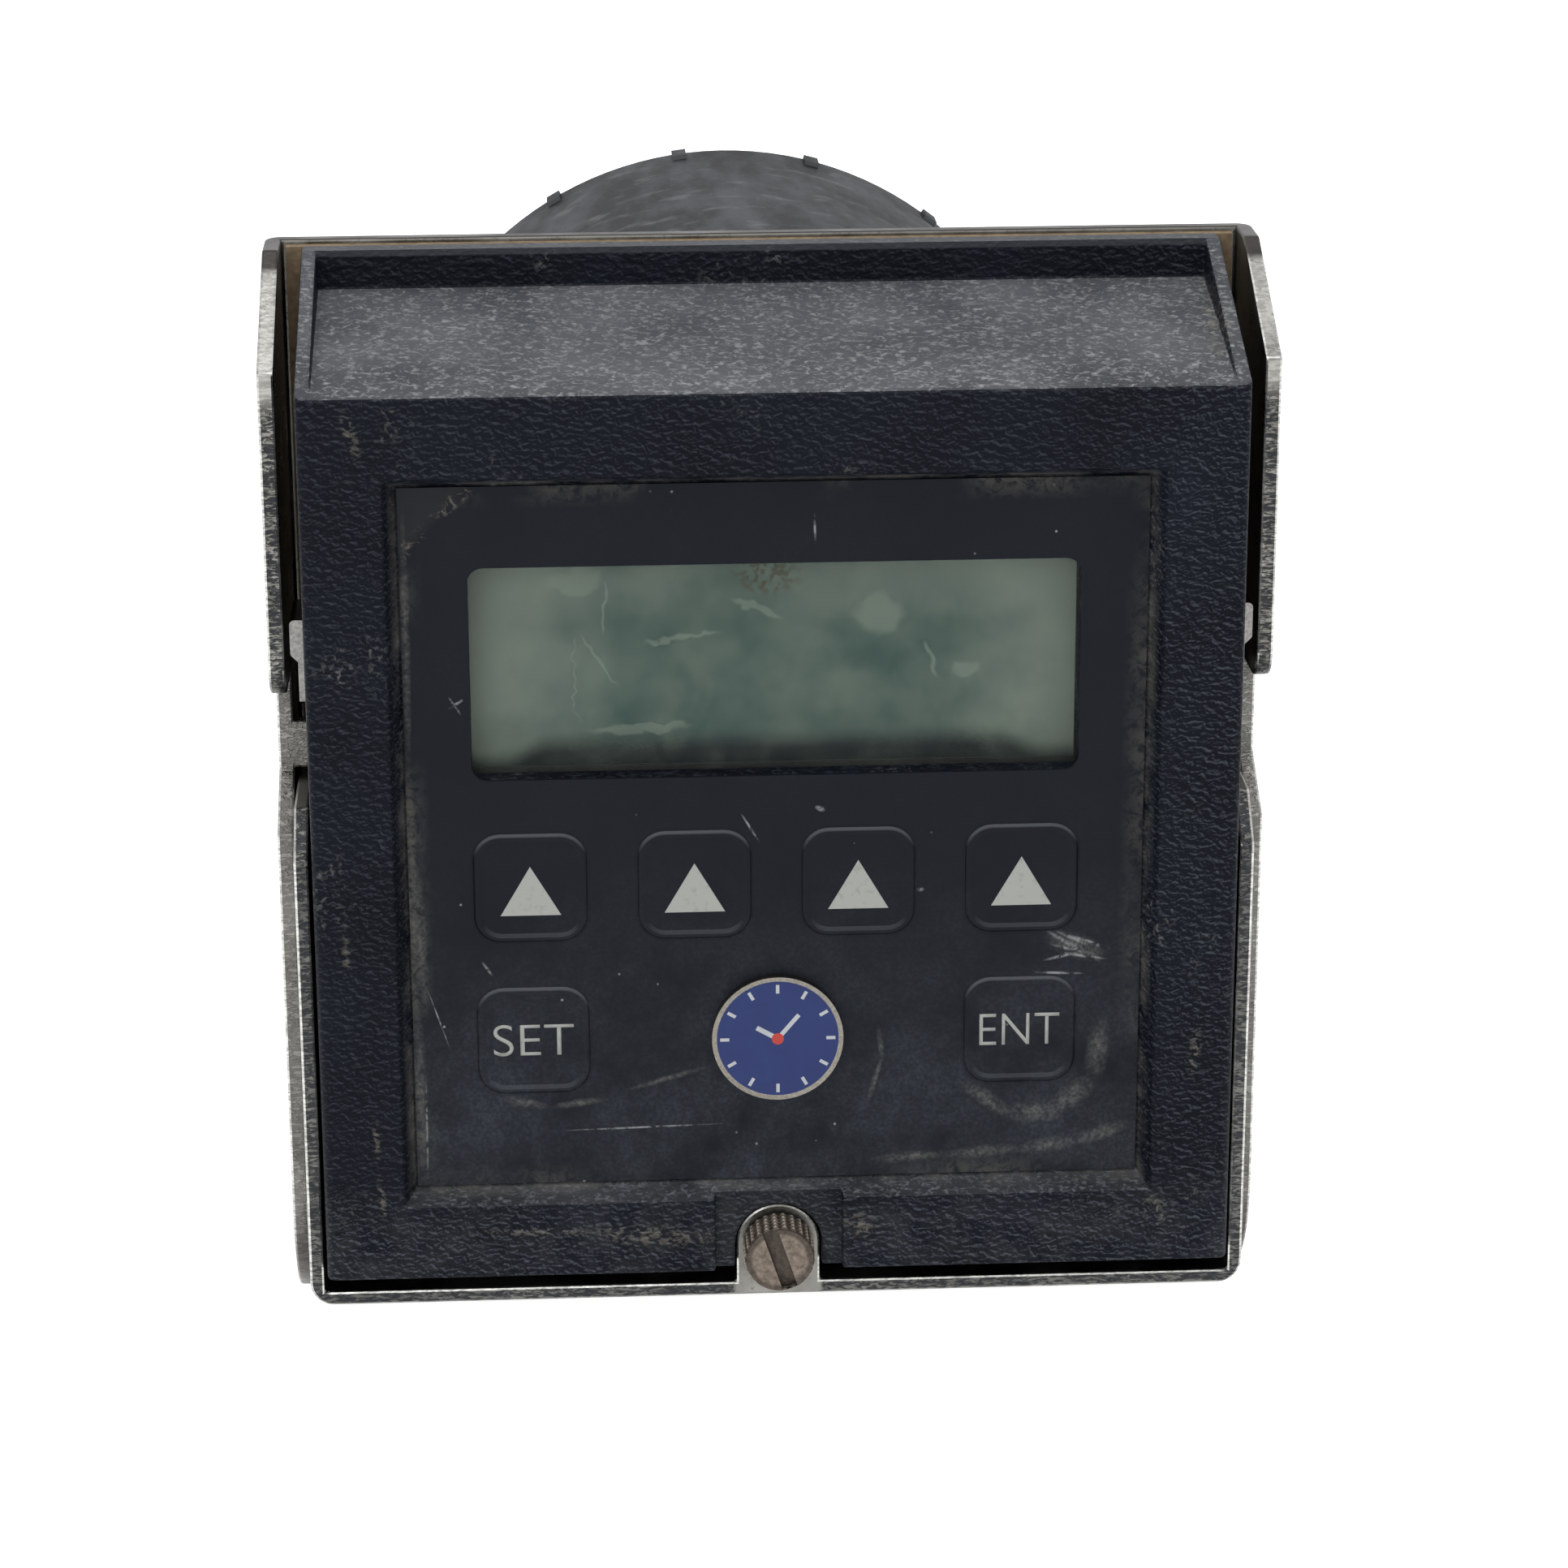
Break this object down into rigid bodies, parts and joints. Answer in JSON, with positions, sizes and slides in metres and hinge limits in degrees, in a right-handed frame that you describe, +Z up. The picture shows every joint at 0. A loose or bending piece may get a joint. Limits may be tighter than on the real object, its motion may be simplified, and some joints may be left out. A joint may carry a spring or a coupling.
{
  "type": "panel digital timer module",
  "caption": "Plug-in panel timer: dark moulded front with a display window, film keys and a round badge, held by a lock screw in a folded steel frame with a round ribbed housing.",
  "frame": {"origin": "on the round housing's axis, at the rear face of the mounting frame's plate, where it meets the panel, in the middle of the four panel holes", "axes": "+Y back through the panel along the housing, -Y towards the operator, +Z up, +X to the operator's right"},
  "size_m": [0.0812, 0.103, 0.091],
  "materials": {
    "plated_steel": "zinc plated sheet, dull, with sheared edges",
    "screw_steel": "plated steel, turned, dulled with grime",
    "spring_steel": "thin spring strip, dull",
    "fibre": "tan vulcanised fibre sheet",
    "black_abs": "moulded, fine leather grain, dusty",
    "phenolic": "moulded, dull",
    "film": "printed polyester film, smooth and matt",
    "badge_metal": "printed, with a bright rim",
    "clear_pane": "clear acrylic",
    "lcd": "blank green-grey display cell",
    "holder": "moulded",
    "elastomer": "striped conductive silicone",
    "laminate": "glass laminate",
    "component_case": "moulded",
    "contact_brass": "tinned strip",
    "transformer_steel": "stacked laminations with a taped coil",
    "cap_case": "dipped film capacitor"
  },
  "bodies": {
    "housing": {"mounting_frame": "plated_steel", "frame_gasket": "fibre", "housing_cup": "phenolic", "housing_screws": "screw_steel", "terminal_base": "phenolic", "terminal_plates": "contact_brass", "terminal_screws": "screw_steel", "receptacles": "contact_brass"},
    "module": {"bezel": "black_abs", "overlay_film": "film", "badge": "badge_metal", "display_window": "clear_pane", "lcd_glass": "lcd", "lcd_holder": "holder", "elastomer_strips": "elastomer", "display_board": "laminate", "key_switches": "component_case", "chips": "component_case", "module_frame": "plated_steel", "side_spring_left": "spring_steel", "side_spring_right": "spring_steel", "plug_base": "phenolic", "plug_blades": "contact_brass", "chassis_posts": "screw_steel", "chassis_screws": "screw_steel", "power_board": "laminate", "relay": "component_case", "transformer": "transformer_steel", "capacitors": "cap_case"},
    "lock_screw": {"lock_screw": "screw_steel", "screw_retainer": "screw_steel"},
    "key_1": {"key_1": "film"},
    "key_2": {"key_2": "film"},
    "key_3": {"key_3": "film"},
    "key_4": {"key_4": "film"},
    "key_set": {"key_set": "film"},
    "key_enter": {"key_enter": "film"}
  },
  "joints": [
    {"name": "module_slide", "type": "slide", "parent": "housing", "child": "module", "axis": [0, -1, 0], "range_m": [0, 0.085]},
    {"name": "lock_screw_turn", "type": "hinge", "parent": "module", "child": "lock_screw", "pos_m": [0, -0.022, -0.0397], "axis": [0, -1, 0], "continuous": true},
    {"name": "key_1_press", "type": "slide", "parent": "module", "child": "key_1", "axis": [0, 1, 0], "range_m": [0, 0.0005], "stiffness_N_per_m": 2000},
    {"name": "key_2_press", "type": "slide", "parent": "module", "child": "key_2", "axis": [0, 1, 0], "range_m": [0, 0.0005], "stiffness_N_per_m": 2000},
    {"name": "key_3_press", "type": "slide", "parent": "module", "child": "key_3", "axis": [0, 1, 0], "range_m": [0, 0.0005], "stiffness_N_per_m": 2000},
    {"name": "key_4_press", "type": "slide", "parent": "module", "child": "key_4", "axis": [0, 1, 0], "range_m": [0, 0.0005], "stiffness_N_per_m": 2000},
    {"name": "key_set_press", "type": "slide", "parent": "module", "child": "key_set", "axis": [0, 1, 0], "range_m": [0, 0.0005], "stiffness_N_per_m": 2000},
    {"name": "key_enter_press", "type": "slide", "parent": "module", "child": "key_enter", "axis": [0, 1, 0], "range_m": [0, 0.0005], "stiffness_N_per_m": 2000}
  ]
}
